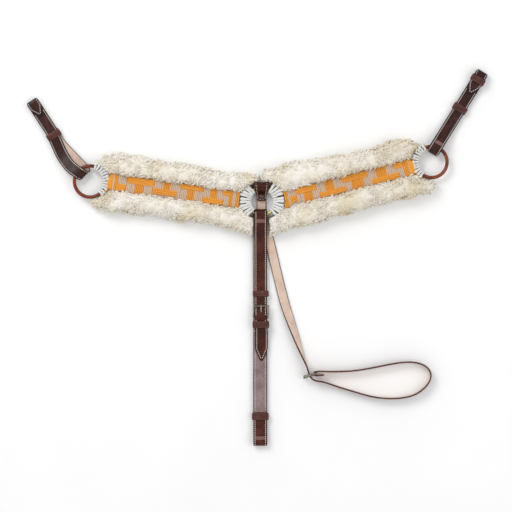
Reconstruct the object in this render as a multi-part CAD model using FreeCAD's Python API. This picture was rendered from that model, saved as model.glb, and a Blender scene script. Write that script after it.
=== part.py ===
import FreeCAD, Part
import math
import os

os.makedirs("parts", exist_ok=True)

V = FreeCAD.Vector
UP = V(0, 0, 1)

# --- driving dimensions, mm, drawn about the middle of the centre ring ---
WIRE_R = 3.6
RING_Z = 14.0
CENTRE_RING_R = 28.0
SIDE_RING_R = 31.2
LEFT_RING = V(-344, 39, RING_Z)
RIGHT_RING = V(339, 78, RING_Z)

LEATHER = 3.0
CHEST_WIDTH = 25.4
SIDE_WIDTH = 25.0
LONG_WIDTH = 19.0
SOFT_GAP = 0.4
KEEPER_T = 1.8
KEEPER_GAP = 0.35
TIP_BLUNT = 3.0
MAX_STEP = 5.0
MIN_STEP = 0.25
FOLD_DEFLECTION = 0.015

LACE_FIT = 0.05
LACE_MID_R = 31.5
LACE_HALF_RADIAL = 8.5
LACE_HALF_Z = 6.0

BAND_WIDTH = 33.0
BAND_BOTTOM = 17.6
BAND_TOP = 21.6
TUG_START = 45.0
SIDE_CLEAR_R = 40.5

CHEST_X = -2.0
CHEST_LOOP_R = 8.7
CHEST_BACK_Z = RING_Z - CHEST_LOOP_R
CHEST_FRONT_Z = 8.8
CHEST_TIP_S = 320.0
CHEST_BOTTOM_S = 490.0
CHEST_TAPER = 22.0

BUCKLE_WIRE = 1.7
CHEST_BAR_TOP = V(CHEST_X, -210, 13.2)
CHEST_BAR_PIVOT = V(CHEST_X, -233, 10.8)
CHEST_BUCKLE_HALF = 14.8
TONGUE_R = 1.4

SIDE_LOOP_R = 8.1
SIDE_BACK_Z = 4.2
SIDE_INNER_Z = 7.7
SIDE_OUTER_Z = 11.2
LOOP_END_R = 4.5
SADDLE_BORE_R = 3.1
GIRTH_BORE_R = 4.1

LONG_BUCKLE_BAR = V(108, -345, 13.6)
LONG_BUCKLE_NOSE = V(84, -351, 13.6)
LONG_BUCKLE_HALF = 11.9


def unit(v):
    w = V(v)
    w.normalize()
    return w


def even_marks(curve):
    """Parameters along a curve, close in its bends and at most MAX_STEP apart."""
    first = curve.FirstParameter
    marks = [first]
    for point in curve.toShape().discretize(QuasiDeflection=FOLD_DEFLECTION)[1:]:
        mark = curve.parameter(point)
        gap = (point - curve.value(marks[-1])).Length
        if gap < MIN_STEP:
            continue
        pieces = max(1, math.ceil(gap / MAX_STEP))
        start = marks[-1]
        for k in range(1, pieces + 1):
            marks.append(start + (mark - start) * k / pieces)
    return marks


def smooth(points):
    curve = Part.BSplineCurve()
    curve.interpolate(points)
    return [curve.value(u) for u in even_marks(curve)]


def blend_value(table, s):
    """Straight-line lookup in a list of (s, value) pairs."""
    if s <= table[0][0]:
        return table[0][1]
    for (s0, v0), (s1, v1) in zip(table, table[1:]):
        if s <= s1:
            return v0 + (v1 - v0) * (s - s0) / (s1 - s0)
    return table[-1][1]


def ribbon(points, across, widths, thick):
    """Solid strap: a rectangle carried along points; across gives its width direction."""
    sections = []
    last = len(points) - 1
    for i, p in enumerate(points):
        tangent = unit(points[min(i + 1, last)] - points[max(i - 1, 0)])
        side = across[i] - tangent * across[i].dot(tangent)
        side = unit(side) * (widths[i] / 2)
        normal = unit(tangent.cross(side)) * (thick / 2)
        corners = [p - side - normal, p + side - normal, p + side + normal, p - side + normal]
        sections.append(Part.makePolygon(corners + corners[:1]))
    return Part.makeLoft(sections, True, True)


def side_curve(profile):
    """Smooth side view of a strap as (distance, height) points."""
    points = smooth([V(s, z, 0) for s, z in profile])
    return [(p.x, p.y) for p in points]


def flat_strap(origin, direction, profile, width, thick):
    """Strap drawn by its side view: profile holds (distance along, height) pairs."""
    along = unit(direction)
    side = UP.cross(along)
    points = side_curve(profile)
    last = len(points) - 1
    over, under = [], []
    for i, (s, z) in enumerate(points):
        s0, z0 = points[max(i - 1, 0)]
        s1, z1 = points[min(i + 1, last)]
        length = math.hypot(s1 - s0, z1 - z0)
        ds = -(z1 - z0) / length * thick / 2
        dz = (s1 - s0) / length * thick / 2
        over.append(origin + along * (s + ds) + UP * (z + dz) - side * (width / 2))
        under.append(origin + along * (s - ds) + UP * (z - dz) - side * (width / 2))
    outline = over + under[::-1]
    face = Part.Face(Part.makePolygon(outline + outline[:1]))
    return face.extrude(side * width)


def arc_profile(s0, z0, radius, start, stop, steps):
    """Points of a fold seen from the side, angles in degrees."""
    out = []
    for k in range(steps + 1):
        a = math.radians(start + (stop - start) * k / steps)
        out.append((s0 + radius * math.cos(a), z0 + radius * math.sin(a)))
    return out


def prism(corners, z0, z1):
    base = [V(x, y, z0) for x, y in corners]
    return Part.Face(Part.makePolygon(base + base[:1])).extrude(UP * (z1 - z0))


def block(origin, direction, s0, s1, half, z0, z1):
    """Upright box along a strap: from s0 to s1, half wide to each side."""
    along = unit(direction)
    side = UP.cross(along) * half
    a = origin + along * s0
    b = origin + along * s1
    corners = [a - side, b - side, b + side, a + side]
    return prism([(c.x, c.y) for c in corners], z0, z1)


def pointed(shape, origin, direction, tip, taper, half, z0, z1):
    """Cut a strap end to a point at distance tip along direction."""
    along = unit(direction)
    side = UP.cross(along)
    for sign in (-1, 1):
        a = origin + along * (tip + 3) + side * sign * TIP_BLUNT / 2
        b = origin + along * tip + side * sign * TIP_BLUNT / 2
        c = origin + along * (tip - taper) + side * sign * (half + 0.6)
        d = origin + along * (tip + 3) + side * sign * (half + 0.6)
        shape = shape.cut(prism([(q.x, q.y) for q in (a, b, c, d)], z0, z1))
    return shape


def keeper(origin, direction, s0, s1, half, z0, z1):
    """Closed leather loop round a stack that spans z0 to z1 and half each side."""
    inner = half + KEEPER_GAP
    outer = inner + KEEPER_T
    low = z0 - KEEPER_GAP
    high = z1 + KEEPER_GAP
    body = block(origin, direction, s0, s1, outer, low - KEEPER_T, high + KEEPER_T)
    along = unit(direction)
    edges = []
    for e in body.Edges:
        d = unit(e.Vertexes[1].Point - e.Vertexes[0].Point)
        if abs(d.dot(along)) > 0.99:
            edges.append(e)
    body = body.makeFillet(1.6, edges)
    return body.cut(block(origin, direction, s0 - 1, s1 + 1, inner, low, high))


def rod(a, b, radius):
    return Part.makeCylinder(radius, (b - a).Length, a, b - a)


def rod_loop(corners, radius):
    """Closed bar frame: round bars with ball corners."""
    shape = None
    for a, b in zip(corners, corners[1:] + corners[:1]):
        piece = rod(a, b, radius).fuse(Part.makeSphere(radius, b))
        shape = piece if shape is None else shape.fuse(piece)
    return shape.removeSplitter()


# --- rings, lacing, tugs ---
def ring(centre, radius):
    return Part.makeTorus(radius, WIRE_R, centre, UP)


def lacing(centre, wire_radius, mid_r, half_r, start, stop):
    """Cord wrapping seen as one padded sleeve round part of a ring."""
    sleeve = Part.Ellipse(V(mid_r, 0, 0), half_r, LACE_HALF_Z).toShape()
    sleeve.rotate(V(mid_r, 0, 0), V(1, 0, 0), 90)
    hole = Part.Circle(V(wire_radius, 0, 0), V(0, 1, 0), WIRE_R + LACE_FIT).toShape()
    face = Part.Face(Part.Wire(sleeve)).cut(Part.Face(Part.Wire(hole))).Faces[0]
    solid = face.revolve(V(0, 0, 0), UP, stop - start)
    solid.rotate(V(0, 0, 0), UP, start)
    solid.translate(centre)
    return solid


LEFT_ALONG = unit(V(-258, 36, 0))
LEFT_SHIFT = UP.cross(LEFT_ALONG) * 4
RIGHT_ALONG = unit(V(262, 68, 0))
RIGHT_SHIFT = UP.cross(RIGHT_ALONG) * -9
TUG_LENGTH = 335

# pad edges: distance along and offset across for one edge, the same for the other, roll height
LEFT_PAD = [
    (14, 61, 24, -45, 30), (50, 58, 50, -47, 34), (100, 52, 100, -48, 35), (140, 55, 140, -52, 34),
    (200, 52, 200, -50, 35), (250, 53, 250, -55, 34), (300, 53, 300, -55, 34),
    (326, 50, 324, -46, 28), (341, 40, 336, -30, 20),
]
RIGHT_PAD = [
    (16, 60, 14, -58, 30), (50, 64, 40, -54, 34), (100, 63, 90, -58, 35), (140, 57, 140, -54, 34),
    (200, 54, 200, -54, 35), (250, 52, 250, -55, 34), (297, 54, 300, -55, 34),
    (318, 52, 328, -57, 28), (329, 36, 346, -46, 20),
]


def fleece(stations, along, shift, outer_ring):
    """Sheepskin pad: two rolls with a groove between for the band."""
    side = UP.cross(along)
    groove = BAND_WIDTH / 2 + 0.8
    rim = BAND_BOTTOM - 0.1
    sections = []
    for s_a, a, s_b, b, top in stations:
        top_a = max(top, rim + 4)
        keys = [
            (a - 7, 0.3), (a, 8), (a + 0.5, top_a * 0.55), (a - 6, top_a * 0.9),
            ((a + groove) / 2 + 1, top_a), (groove + 3, top_a * 0.9), (groove + 0.2, rim + 3),
            (groove, rim), (-groove, rim), (-groove - 0.2, rim + 3),
            (-groove - 3, top_a * 0.9), ((b - groove) / 2 - 1, top_a), (b + 6, top_a * 0.9),
            (b - 0.5, top_a * 0.55), (b, 8), (b + 7, 0.3),
        ]
        points = []
        for u, z in keys:
            s = s_b + (s_a - s_b) * (u - b) / (a - b)
            points.append(shift + along * s + side * u + UP * z)
        sections.append(Part.makePolygon(points + points[:1]))
    pad = Part.makeLoft(sections, True, True)
    pad = pad.cut(Part.makeCylinder(TUG_START, 60, V(0, 0, -10), UP))
    outer = V(outer_ring.x, outer_ring.y, -10)
    return pad.cut(Part.makeCylinder(SIDE_CLEAR_R, 60, outer, UP))


def band(along, shift, outer_ring):
    strip = block(shift, along, 20, TUG_LENGTH, BAND_WIDTH / 2, BAND_BOTTOM, BAND_TOP)
    strip = strip.cut(Part.makeCylinder(TUG_START, 60, V(0, 0, -10), UP))
    outer = V(outer_ring.x, outer_ring.y, -10)
    return strip.cut(Part.makeCylinder(SIDE_CLEAR_R, 60, outer, UP))


# --- side straps ---
def on_line(line, s, z):
    """Point and side direction at distance s along a side strap that bends once."""
    origin, heading, bend_at, bend = line
    first = heading_vector(heading)
    second = heading_vector(heading + bend)
    if s <= bend_at:
        return origin + first * s + UP * z, UP.cross(first)
    corner = origin + first * bend_at
    return corner + second * (s - bend_at) + UP * z, UP.cross(second)


def heading_vector(degrees):
    return V(math.cos(math.radians(degrees)), math.sin(math.radians(degrees)), 0)


LEFT_LINE = (V(-349.7, 55.8, 0), 134.1, 76, -11.1)
RIGHT_LINE = (V(340.3, 95.3, 0), 58.1, 76, 0)
LEFT_TIP, LEFT_END = 148, 184.5
RIGHT_TIP, RIGHT_END = 140, 193
FOLD_S = 8.4
INNER_BACK = 14
SIDE_TAPER = 20


def side_strap(line, tip, end):
    """One strap: inner end, round the ring wire, along the back, round the end loop to a pointed tip."""
    high = RING_Z + SIDE_LOOP_R
    centre_s = end - LOOP_END_R - LEATHER / 2
    inner = centre_s - INNER_BACK
    profile = [(inner - (inner - 72) * k / 11, SIDE_INNER_Z) for k in range(12)]
    profile += [(66, SIDE_INNER_Z + 0.2), (56, SIDE_INNER_Z + 1.4), (42, 13.0), (26, 19.8), (17, high - 0.4)]
    profile += arc_profile(FOLD_S, RING_Z, SIDE_LOOP_R, 90, 270, 8)
    profile += [(18, RING_Z - SIDE_LOOP_R - 0.2), (30, SIDE_BACK_Z + 0.9), (42, SIDE_BACK_Z + 0.2)]
    profile += [(52 + k * 8, SIDE_BACK_Z) for k in range(15)]
    profile += [(centre_s - 8, SIDE_BACK_Z), (centre_s - 3, SIDE_BACK_Z)]
    profile += arc_profile(centre_s, SIDE_BACK_Z + LOOP_END_R, LOOP_END_R, -90, 90, 6)
    over = centre_s - 17
    profile += [(centre_s - 6, SIDE_OUTER_Z + 1.6), (centre_s - 12, SIDE_OUTER_Z + 0.4)]
    profile += [(over - (over - tip) * k / 3, SIDE_OUTER_Z) for k in range(4)]
    origin, heading, bend_at, bend = line
    far = heading_vector(heading + bend)
    corner = on_line(line, bend_at, 0)[0]
    far_origin = corner - far * bend_at
    strap = flat_strap(far_origin, far, profile, SIDE_WIDTH, LEATHER)
    low = SIDE_OUTER_Z - LEATHER / 2 - 0.25
    strap = pointed(strap, far_origin, far * -1, -tip, SIDE_TAPER, SIDE_WIDTH / 2, low, low + 6)
    if bend:
        near = flat_strap(origin, heading_vector(heading), profile, SIDE_WIDTH, LEATHER)
        middle = heading_vector(heading + bend / 2)
        strap = strap.cut(mitre_block(corner, middle, -1))
        strap = strap.fuse(near.cut(mitre_block(corner, middle, 1))).removeSplitter()
    spot, side = on_line(line, centre_s, SIDE_BACK_Z + LOOP_END_R)
    bore = Part.makeCylinder(SADDLE_BORE_R, 40, spot - side * 20, side)
    return strap.cut(bore)


def mitre_block(corner, middle, way):
    """Big block on one side of a bend's mitre plane."""
    side = UP.cross(middle) * 60
    reach = middle * 300 * way
    points = [corner - side, corner + side, corner + side + reach, corner - side + reach]
    return prism([(p.x, p.y) for p in points], -20, 60)


def side_keeper(line, s0, s1, top_z):
    middle, side = on_line(line, (s0 + s1) / 2, 0)
    direction = side.cross(UP)
    half = (s1 - s0) / 2
    low = SIDE_BACK_Z - LEATHER / 2
    return keeper(middle, direction, -half, half, SIDE_WIDTH / 2, low, top_z + LEATHER / 2)


# --- chest strap ---
CHEST_ORIGIN = V(CHEST_X, 0, 0)
CHEST_DOWN = V(0, -1, 0)
CHEST_FOLD_S = 26.2
CHAPE_T = 1.6
CHAPE_BAR_R = BUCKLE_WIRE + SOFT_GAP + CHAPE_T / 2
CHEST_END_R = 5.5
CHEST_END_LOW = 3.3


def chest_strap():
    """Tip, over the buckle, round the ring, down the back and up into the end loop."""
    front, back = CHEST_FRONT_Z, CHEST_BACK_Z
    profile = [(CHEST_TIP_S, front), (300, front), (279, front), (270, 9.6), (262, 12.2), (254, 12.6)]
    profile += [(246, 13.1), (239, 15.1), (233, 16.7), (227, 16.0), (220, 12.8), (213, 9.4), (205, front)]
    profile += [(190, front), (150, front), (110, front), (85, front + 0.3), (66, 12.6), (48, 19.5)]
    profile += [(36, 22.3)]
    profile += arc_profile(CHEST_FOLD_S, RING_Z, CHEST_LOOP_R, 90, 270, 8)
    profile += [(40, back), (80, back), (160, back), (240, back), (320, back), (400, back), (440, back)]
    profile += [(458, 4.6), (472, CHEST_END_LOW)]
    end_s = CHEST_BOTTOM_S - CHEST_END_R - LEATHER / 2
    profile += arc_profile(end_s, CHEST_END_LOW + CHEST_END_R, CHEST_END_R, -90, 90, 6)
    profile += [(474, 13.2), (460, 10.0), (446, front), (423, front)]
    strap = flat_strap(CHEST_ORIGIN, CHEST_DOWN, profile, CHEST_WIDTH, LEATHER)
    low = front - LEATHER / 2 - 0.2
    strap = pointed(strap, CHEST_ORIGIN, CHEST_DOWN, CHEST_TIP_S, CHEST_TAPER, CHEST_WIDTH / 2, low, low + 6)
    spot = CHEST_ORIGIN + CHEST_DOWN * end_s + UP * (CHEST_END_LOW + CHEST_END_R) - V(20, 0, 0)
    strap = strap.cut(Part.makeCylinder(GIRTH_BORE_R, 40, spot, V(1, 0, 0)))
    slot = block(CHEST_ORIGIN, CHEST_DOWN, 211, 234, TONGUE_R + 1.0, CHEST_BACK_Z + 2.2, 30)
    strap = strap.cut(slot)
    for hole_s in (177, 199, 268):
        spot = CHEST_ORIGIN + CHEST_DOWN * hole_s + UP * 7.05
        strap = strap.cut(Part.makeCylinder(2.0, 12, spot, UP))
    return strap


def chest_chape():
    """Short strap folded round the pivot bar that ties the buckle down."""
    bar_s, bar_z = -CHEST_BAR_PIVOT.y, CHEST_BAR_PIVOT.z
    profile = [(260, 7.9), (254, 7.9), (248, 7.9), (242, 7.7), (bar_s + 4, bar_z - CHAPE_BAR_R + 0.05)]
    profile += arc_profile(bar_s, bar_z, CHAPE_BAR_R, 270, 90, 8)
    profile += [(bar_s + 4, 12.9), (242, 10.3), (246, 9.95), (250, 9.95), (255, 9.95), (260, 9.95)]
    chape = flat_strap(CHEST_ORIGIN, CHEST_DOWN, profile, CHEST_WIDTH, CHAPE_T)
    slot = block(CHEST_ORIGIN, CHEST_DOWN, 226, 240, TONGUE_R + 1.0, 6, 16)
    return chape.cut(slot)


def chest_keeper(s0, s1, top_z):
    low = CHEST_BACK_Z - LEATHER / 2
    return keeper(CHEST_ORIGIN, CHEST_DOWN, s0, s1, CHEST_WIDTH / 2, low, top_z)


def buckle_frame(pivot, nose, half, side):
    corners = [pivot - side * half, pivot + side * half, nose + side * half, nose - side * half]
    return rod_loop(corners, BUCKLE_WIRE)


def tongue(pivot, nose, side, lift, reach):
    """Eye round the pivot bar and a pin that rests on the nose bar."""
    eye = Part.makeCylinder(3.5, TONGUE_R * 2, pivot - side * TONGUE_R, side)
    rest = nose + lift * (BUCKLE_WIRE + TONGUE_R + 0.25) + unit(nose - pivot) * reach
    start = pivot + lift * 1.2
    pin = rod(start, rest, TONGUE_R)
    shape = eye.fuse(pin).fuse(Part.makeSphere(TONGUE_R, rest))
    return shape.cut(Part.makeCylinder(BUCKLE_WIRE + 0.08, 12, pivot - side * 6, side))


# --- long strap ---
TAB_X = -1.0
TAB_LOOP_R = 8.7
LONG_FLAT_Z = 1.8
SNAP_Y = 8.0
SNAP_POST_R = 2.2
ON_EDGE_Z = 10.0
BUCKLE_Z = LONG_BUCKLE_BAR.z


def long_keys():
    """x, y, z, roll angle, width for the long strap from tab tip to buckle chape."""
    keys = [(TAB_X, 0, 8.8, 0, 15), (TAB_X, 8, 8.8, 0, 18), (TAB_X, 13, 8.9, 0, 19)]
    keys += [(TAB_X, 17.4, 13.2, 0, 20), (TAB_X, 22.4, 20.8, 0, 23)]
    for k in range(9):
        a = math.radians(90 - 180 * k / 8)
        width = 28 - 9 * k / 8
        y = CENTRE_RING_R + TAB_LOOP_R * math.cos(a)
        keys.append((TAB_X, y, RING_Z + TAB_LOOP_R * math.sin(a), 0, width))
    keys += [(TAB_X, 12, 5.2, 0, 19), (TAB_X, 2, 4.4, 0, 19), (TAB_X, -8, 2.5, 0, 19)]
    z = LONG_FLAT_Z
    keys += [(TAB_X, -17, z, 0, 19), (1.0, -32, z, 0, 19), (5.5, -48, z, 0, 19), (11.7, -68, z, 0, 19)]
    keys += [(24.5, -120, z, 0, 19), (38.5, -178, z, 0, 19), (45, -203, 3.2, 8, 19)]
    keys += [(58, -243, 6.5, 30, 19), (71, -280, 9.3, 54, 19), (83, -313, 11.6, 76, 19)]
    keys += [(91, -336, BUCKLE_Z, 90, 19), (96, -350, BUCKLE_Z, 90, 19), (103, -357.5, BUCKLE_Z, 90, 19)]
    z = ON_EDGE_Z
    loop = [(117, -361, 12.6), (147, -370, z), (183, -381, z), (219, -391, z), (254, -395, z)]
    loop += [(290, -392, z), (308, -386, z), (324, -374.5, z), (334, -362, z), (337.6, -350, z)]
    loop += [(335, -339, z), (327, -330.5, z), (313.6, -324.6, z), (290, -322.4, z), (254.6, -327, z)]
    loop += [(219, -334, z), (183, -339.6, z), (147, -341.2, z), (128, -341.0, 12.8), (117, -340.6, BUCKLE_Z)]
    keys += [(x, y, h, 90, 19) for x, y, h in loop]
    bar = LONG_BUCKLE_BAR
    for k in range(7):
        a = math.radians(90 + 180 * k / 6)
        keys.append((bar.x + 3.7 * math.cos(a), bar.y + 3.7 * math.sin(a), BUCKLE_Z, 90, 19))
    keys += [(116, -348.6, BUCKLE_Z, 90, 19), (124, -347.6, BUCKLE_Z, 90, 19)]
    return keys


def long_strap():
    keys = long_keys()
    curve = Part.BSplineCurve()
    curve.interpolate([V(x, y, z) for x, y, z, _, _ in keys])
    marks = [curve.parameter(V(x, y, z)) for x, y, z, _, _ in keys]
    rolls = [(m, k[3]) for m, k in zip(marks, keys)]
    widths = [(m, k[4]) for m, k in zip(marks, keys)]
    first, last = curve.FirstParameter, curve.LastParameter
    points, across, wide = [], [], []
    tab_marks = marks[17]
    for u in even_marks(curve):
        ahead = curve.value(min(u + 1e-4 * (last - first), last))
        behind = curve.value(max(u - 1e-4 * (last - first), first))
        heading = ahead - behind
        flat = V(1, 0, 0) if u <= tab_marks else UP.cross(unit(V(heading.x, heading.y, 0)))
        roll = math.radians(blend_value(rolls, u))
        points.append(curve.value(u))
        across.append(flat * math.cos(roll) - UP * math.sin(roll))
        wide.append(blend_value(widths, u))
    strap = ribbon(points, across, wide, LEATHER)
    pin_z = (BUCKLE_Z - TONGUE_R - 0.9, BUCKLE_Z + TONGUE_R + 0.9)
    strap = strap.cut(prism([(90, -358), (101.5, -358), (101.5, -343), (90, -343)], *pin_z))
    chape = [(102.5, -350.2), (112.5, -350.2), (112.5, -339), (102.5, -339)]
    strap = strap.cut(prism(chape, *pin_z))
    post_hole = Part.makeCylinder(SNAP_POST_R + LACE_FIT, 10, V(TAB_X, SNAP_Y, 2), UP)
    return strap.cut(post_hole)


def tab_snap():
    """Snap through the tab's two layers: cap in front, post between, stud behind."""
    spot = V(TAB_X, SNAP_Y, 0)
    cap = Part.makeCylinder(4.6, 1.4, spot + UP * 11.3, UP)
    cap = cap.makeFillet(0.9, [cap.Edges[0]])
    post = Part.makeCylinder(SNAP_POST_R, 9.6, spot + UP * 2.0, UP)
    stud = Part.makeCylinder(4, 0.9, spot + UP * 1.7, UP)
    return cap.fuse(post).fuse(stud)


# --- assembly ---
def build():
    origin = V(0, 0, RING_Z)
    parts = {}
    parts["centre_ring"] = ring(origin, CENTRE_RING_R)
    parts["left_inner_lacing"] = lacing(origin, CENTRE_RING_R, LACE_MID_R, LACE_HALF_RADIAL, 132, 228)
    parts["right_inner_lacing"] = lacing(origin, CENTRE_RING_R, LACE_MID_R, LACE_HALF_RADIAL, -48, 54)
    parts["left_fleece"] = fleece(LEFT_PAD, LEFT_ALONG, LEFT_SHIFT, LEFT_RING)
    parts["right_fleece"] = fleece(RIGHT_PAD, RIGHT_ALONG, RIGHT_SHIFT, RIGHT_RING)
    parts["left_band"] = band(LEFT_ALONG, LEFT_SHIFT, LEFT_RING)
    parts["right_band"] = band(RIGHT_ALONG, RIGHT_SHIFT, RIGHT_RING)
    parts["left_side_ring"] = ring(LEFT_RING, SIDE_RING_R)
    parts["left_outer_lacing"] = lacing(LEFT_RING, SIDE_RING_R, SIDE_RING_R - 0.7, 7.6, -52, 74)
    parts["right_side_ring"] = ring(RIGHT_RING, SIDE_RING_R)
    parts["right_outer_lacing"] = lacing(RIGHT_RING, SIDE_RING_R, SIDE_RING_R - 0.7, 7.6, 114, 240)
    parts["left_side_strap"] = side_strap(LEFT_LINE, LEFT_TIP, LEFT_END)
    parts["left_strap_keeper"] = side_keeper(LEFT_LINE, 95, 109, SIDE_INNER_Z)
    parts["right_side_strap"] = side_strap(RIGHT_LINE, RIGHT_TIP, RIGHT_END)
    parts["right_keeper_lower"] = side_keeper(RIGHT_LINE, 99, 113, SIDE_INNER_Z)
    parts["right_keeper_upper"] = side_keeper(RIGHT_LINE, 167, 180, SIDE_OUTER_Z + 2.0)
    parts["chest_strap"] = chest_strap()
    parts["chest_chape"] = chest_chape()
    parts["chest_keeper_sliding"] = chest_keeper(180, 191, CHEST_FRONT_Z + LEATHER / 2)
    parts["chest_keeper_sewn"] = chest_keeper(240, 254, 16.8)
    parts["chest_keeper_bottom"] = chest_keeper(424, 438, CHEST_FRONT_Z + LEATHER / 2)
    across = V(1, 0, 0)
    pivot, nose = CHEST_BAR_PIVOT, CHEST_BAR_TOP
    parts["chest_buckle_frame"] = buckle_frame(pivot, nose, CHEST_BUCKLE_HALF, across)
    lift = unit(across.cross(nose - pivot)) * -1
    lift = lift if lift.z > 0 else lift * -1
    parts["chest_buckle_tongue"] = tongue(pivot, nose, across, lift, 1.5)
    parts["long_strap"] = long_strap()
    parts["tab_snap"] = tab_snap()
    bar, nose = LONG_BUCKLE_BAR, LONG_BUCKLE_NOSE
    parts["long_buckle_frame"] = buckle_frame(bar, nose, LONG_BUCKLE_HALF, UP)
    lift = unit(UP.cross(nose - bar))
    lift = lift if lift.y < 0 else lift * -1
    parts["long_buckle_tongue"] = tongue(bar, nose, UP, lift, 1.0)
    return parts


def settle(parts):
    """Shift that puts the whole part's middle at x = y = 0 and its underside at z = 0."""
    box = FreeCAD.BoundBox()
    for shape in parts.values():
        box.add(shape.optimalBoundingBox(False))
    return V(-(box.XMin + box.XMax) / 2, -(box.YMin + box.YMax) / 2, -box.ZMin)


PARTS = build()
SHIFT = settle(PARTS)
for name, shape in PARTS.items():
    shape.translate(SHIFT)
    if shape.ShapeType == "Compound" and len(shape.Solids) == 1:
        shape = shape.Solids[0]
    shape.exportStep("parts/" + name + ".step")
    box = shape.BoundBox
    print(name, shape.isValid(), len(shape.Solids), len(shape.Faces), round(shape.Volume),
          [round(v, 1) for v in (box.XMin, box.YMin, box.ZMin, box.XMax, box.YMax, box.ZMax)])
print("shift", [round(v, 3) for v in SHIFT])
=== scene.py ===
import math

import bpy
import numpy as np
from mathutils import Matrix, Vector, noise


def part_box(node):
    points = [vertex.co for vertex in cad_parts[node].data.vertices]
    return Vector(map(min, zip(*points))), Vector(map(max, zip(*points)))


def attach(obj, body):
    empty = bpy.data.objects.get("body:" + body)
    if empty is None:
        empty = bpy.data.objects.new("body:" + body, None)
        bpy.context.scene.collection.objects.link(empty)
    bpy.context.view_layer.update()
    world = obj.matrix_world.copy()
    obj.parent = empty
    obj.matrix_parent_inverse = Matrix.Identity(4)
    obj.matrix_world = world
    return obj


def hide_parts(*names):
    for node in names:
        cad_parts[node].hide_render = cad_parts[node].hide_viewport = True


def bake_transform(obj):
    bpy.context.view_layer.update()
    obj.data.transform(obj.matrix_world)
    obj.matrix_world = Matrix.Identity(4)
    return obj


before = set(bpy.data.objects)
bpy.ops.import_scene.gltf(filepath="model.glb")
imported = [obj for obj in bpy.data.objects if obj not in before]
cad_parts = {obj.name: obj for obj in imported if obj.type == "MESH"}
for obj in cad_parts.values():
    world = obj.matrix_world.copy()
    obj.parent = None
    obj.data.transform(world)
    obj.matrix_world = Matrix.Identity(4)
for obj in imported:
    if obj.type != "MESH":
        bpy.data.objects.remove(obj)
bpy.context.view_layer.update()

RNG = np.random.default_rng(7)

# All shapes are drawn in millimetres about the centre ring's middle, RING_Z above the surface.
RING_Z = 14.0
_ring_low, _ring_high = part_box("centre_ring")
ORIGIN = (np.array(_ring_low) + np.array(_ring_high)) / 2 - np.array([0, 0, RING_Z / 1000])
UP = np.array([0.0, 0.0, 1.0])


def row(p):
    """A drawn point in the row frame, in metres."""
    return ORIGIN + np.asarray(p, float) / 1000


def unit(v):
    v = np.asarray(v, float)
    return v / np.maximum(np.linalg.norm(v, axis=-1, keepdims=True), 1e-9)


# --- node materials ---
class Nodes:
    """Short way to write a procedural material."""

    def __init__(self, name, rough, color=(0.5, 0.5, 0.5)):
        self.mat = bpy.data.materials.new(name)
        self.mat.use_nodes = True
        self.tree = self.mat.node_tree
        self.shader = self.tree.nodes["Principled BSDF"]
        self.shader.inputs["Roughness"].default_value = rough
        self.shader.inputs["Base Color"].default_value = (*color, 1)
        self.coord = self.tree.nodes.new("ShaderNodeTexCoord").outputs["Object"]

    def set(self, **values):
        for key, value in values.items():
            self.shader.inputs[key.replace("_", " ")].default_value = value
        return self

    def add(self, kind, inputs=None, **props):
        node = self.tree.nodes.new("ShaderNode" + kind)
        for key, value in props.items():
            setattr(node, key, value)
        for key, value in (inputs or {}).items():
            if isinstance(value, bpy.types.NodeSocket):
                self.tree.links.new(value, node.inputs[key])
            else:
                node.inputs[key].default_value = value
        return node

    def noise(self, scale, detail=4.0, rough=0.6, distort=0.0):
        settings = {"Vector": self.coord, "Scale": scale, "Detail": detail,
                    "Roughness": rough, "Distortion": distort}
        return self.add("TexNoise", settings).outputs["Fac"]

    def cells(self, scale, feature="F1"):
        node = self.add("TexVoronoi", {"Vector": self.coord, "Scale": scale}, feature=feature)
        return node.outputs["Distance"]

    def ramp(self, fac, stops):
        node = self.add("ValToRGB", {"Fac": fac})
        ramp = node.color_ramp
        while len(ramp.elements) < len(stops):
            ramp.elements.new(0.5)
        for element, (at, color) in zip(ramp.elements, stops):
            element.position = at
            element.color = (*color, 1)
        return node.outputs["Color"]

    def mix(self, fac, a, b, mode="MIX"):
        node = self.add("MixRGB", {"Fac": fac, "Color1": a, "Color2": b}, blend_type=mode)
        return node.outputs["Color"]

    def color(self, socket):
        self.tree.links.new(socket, self.shader.inputs["Base Color"])
        return self

    def rough(self, socket):
        self.tree.links.new(socket, self.shader.inputs["Roughness"])
        return self

    def bump(self, height, strength, distance):
        old = self.shader.inputs["Normal"].links
        settings = {"Height": height, "Strength": strength, "Distance": distance}
        if old:
            settings["Normal"] = old[0].from_socket
        self.tree.links.new(self.add("Bump", settings).outputs["Normal"], self.shader.inputs["Normal"])
        return self


def srgb(r, g, b):
    """Linear colour from 0-255 display values."""
    out = []
    for c in (r, g, b):
        c = c / 255
        out.append(c / 12.92 if c <= 0.04045 else ((c + 0.055) / 1.055) ** 2.4)
    return tuple(out)


def leather(name, dark, mid, light, rough):
    m = Nodes(name, rough)
    tone = m.ramp(m.noise(55, 5, 0.6), [(0.3, dark), (0.52, mid), (0.72, light)])
    pores = m.cells(900, "DISTANCE_TO_EDGE")
    tone = m.mix(0.35, tone, m.ramp(pores, [(0.0, dark), (0.25, light)]))
    m.color(tone)
    m.rough(m.ramp(m.noise(140, 3), [(0.3, (rough - 0.1,) * 3), (0.7, (rough + 0.14,) * 3)]))
    m.bump(pores, 0.35, 0.0004)
    m.bump(m.noise(260, 4), 0.4, 0.0005)
    m.set(Specular_IOR_Level=0.22, Coat_Weight=0.05, Coat_Roughness=0.25)
    return m.mat


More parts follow.
